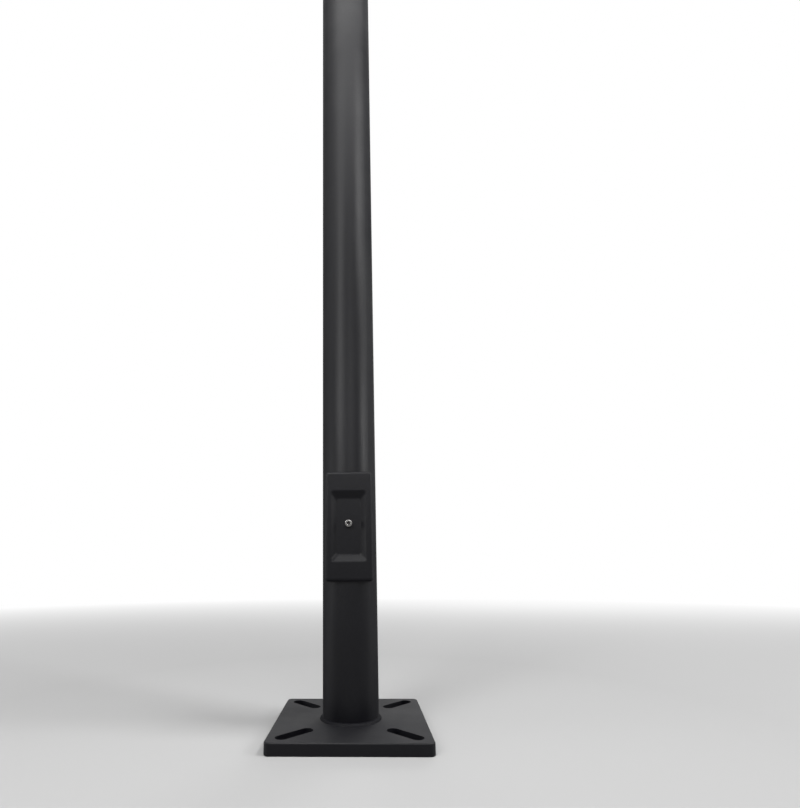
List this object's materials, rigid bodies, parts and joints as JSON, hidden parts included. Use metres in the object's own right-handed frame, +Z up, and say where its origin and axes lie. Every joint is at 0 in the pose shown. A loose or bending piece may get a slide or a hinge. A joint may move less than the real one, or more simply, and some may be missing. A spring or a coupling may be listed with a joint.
{
  "type": "light pole",
  "caption": "Straight round steel light pole on a square base plate with slotted anchor holes, a covered hand hole near its foot and a capped top.",
  "frame": {"origin": "middle of the base plate's underside, on the shaft's axis", "axes": "+Z up the shaft, -Y out of the hand hole, X along the plate's front edge"},
  "size_m": [0.2666, 0.2666, 7.6321],
  "materials": {
    "pole_paint": "satin",
    "cover_paint": "satin",
    "stainless": "satin",
    "zinc_steel": "satin",
    "cap_plastic": "matte"
  },
  "bodies": {
    "root": {"base_plate": "pole_paint", "pole_shaft": "pole_paint", "foot_weld": "pole_paint", "inner_weld": "pole_paint", "hand_hole_rim": "pole_paint", "rim_weld": "pole_paint", "ground_lug": "pole_paint", "hand_hole_cover": "cover_paint", "cover_screw": "stainless", "clamp_bar": "zinc_steel", "clamp_nut": "zinc_steel", "ground_bolt": "zinc_steel", "ground_nut": "zinc_steel", "pole_cap": "cap_plastic"}
  },
  "joints": []
}
